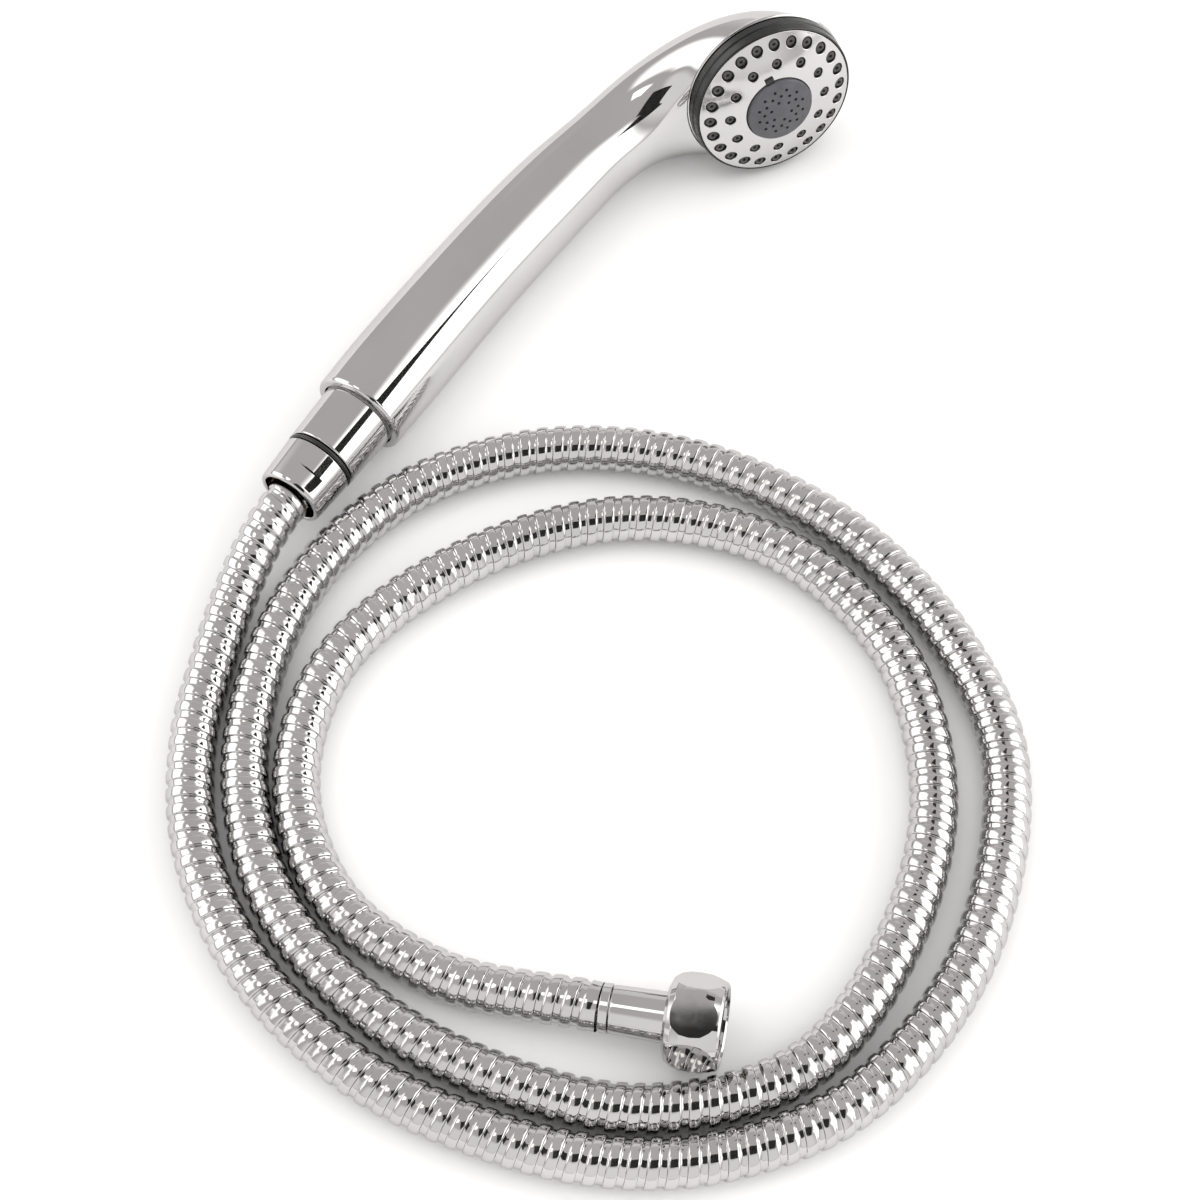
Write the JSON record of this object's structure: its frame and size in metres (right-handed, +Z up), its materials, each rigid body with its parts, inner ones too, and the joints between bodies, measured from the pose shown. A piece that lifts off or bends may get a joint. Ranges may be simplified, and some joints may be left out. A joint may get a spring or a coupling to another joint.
{
  "type": "handheld shower head with hose",
  "caption": "Chromed hand shower with an angled round head and turning spray face, on a swivelling cone connector, with a flexible metal hose and a loose union nut.",
  "frame": {"origin": "on the surface it lies on, under the middle of the handset's box, which runs from the cone connector to the back of the head", "axes": "+X along the handle from the hose to the head, +Z up from the table, +Y away from the sprayed side, so that the spray leaves towards -X and -Y and a little up"},
  "size_m": [0.3589, 0.2612, 0.0542],
  "materials": {
    "shell_chrome": "polished",
    "plate_chrome": "polished",
    "fitting_chrome": "polished",
    "hose_chrome": "polished, wound strip",
    "black_plastic": "satin",
    "grey_plastic": "matt",
    "nozzle_rubber": "matt",
    "inner_plastic": "moulded",
    "seal_rubber": "matt",
    "stem_brass": "turned",
    "hardware_steel": "plain"
  },
  "bodies": {
    "hose": {"cone_nut": "fitting_chrome", "swivel_stem": "stem_brass", "swivel_washer": "inner_plastic", "swivel_oring": "seal_rubber", "hose_tube": "hose_chrome", "end_collar": "fitting_chrome", "crimp_sleeve": "fitting_chrome", "tail_stem": "stem_brass", "wall_gasket": "seal_rubber"},
    "handset": {"handle_shell": "shell_chrome", "waterway_tube": "inner_plastic", "inlet_spigot": "inner_plastic", "spigot_oring": "seal_rubber", "filter_screen": "hardware_steel", "inlet_gasket": "seal_rubber", "collar_nut": "fitting_chrome", "slip_ring": "black_plastic", "diverter_base": "inner_plastic", "base_screw_1": "hardware_steel", "base_screw_2": "hardware_steel", "port_seal": "seal_rubber", "port_spring": "hardware_steel", "detent_ball": "hardware_steel", "detent_spring": "hardware_steel", "hub_oring": "seal_rubber", "face_screw": "hardware_steel", "face_washer": "hardware_steel"},
    "spray_face": {"bezel_ring": "black_plastic", "faceplate": "plate_chrome", "nozzle_mat": "nozzle_rubber", "centre_insert": "grey_plastic", "distributor": "grey_plastic", "valve_plate": "inner_plastic"},
    "slide_washer": {"nut_washer": "inner_plastic"},
    "union_nut": {"wall_nut": "fitting_chrome"}
  },
  "joints": [
    {"name": "handset_swivel", "type": "hinge", "parent": "hose", "child": "handset", "pos_m": [-0.07695, 0.02436, 0.01508], "axis": [1, 0, 0], "continuous": true},
    {"name": "spray_face_turn", "type": "hinge", "parent": "handset", "child": "spray_face", "pos_m": [0.08515, -0.02356, 0.02864], "axis": [-0.5592, -0.7977, 0.2257], "range_deg": [-180, 0]},
    {"name": "union_nut_slide", "type": "slide", "parent": "hose", "child": "slide_washer", "axis": [0.3815, -0.921, 0.0785], "range_m": [-0.012, 0]},
    {"name": "union_nut_spin", "type": "hinge", "parent": "slide_washer", "child": "union_nut", "pos_m": [-0.18115, -0.16184, 0.01333], "axis": [0.3815, -0.921, 0.0785], "continuous": true}
  ]
}
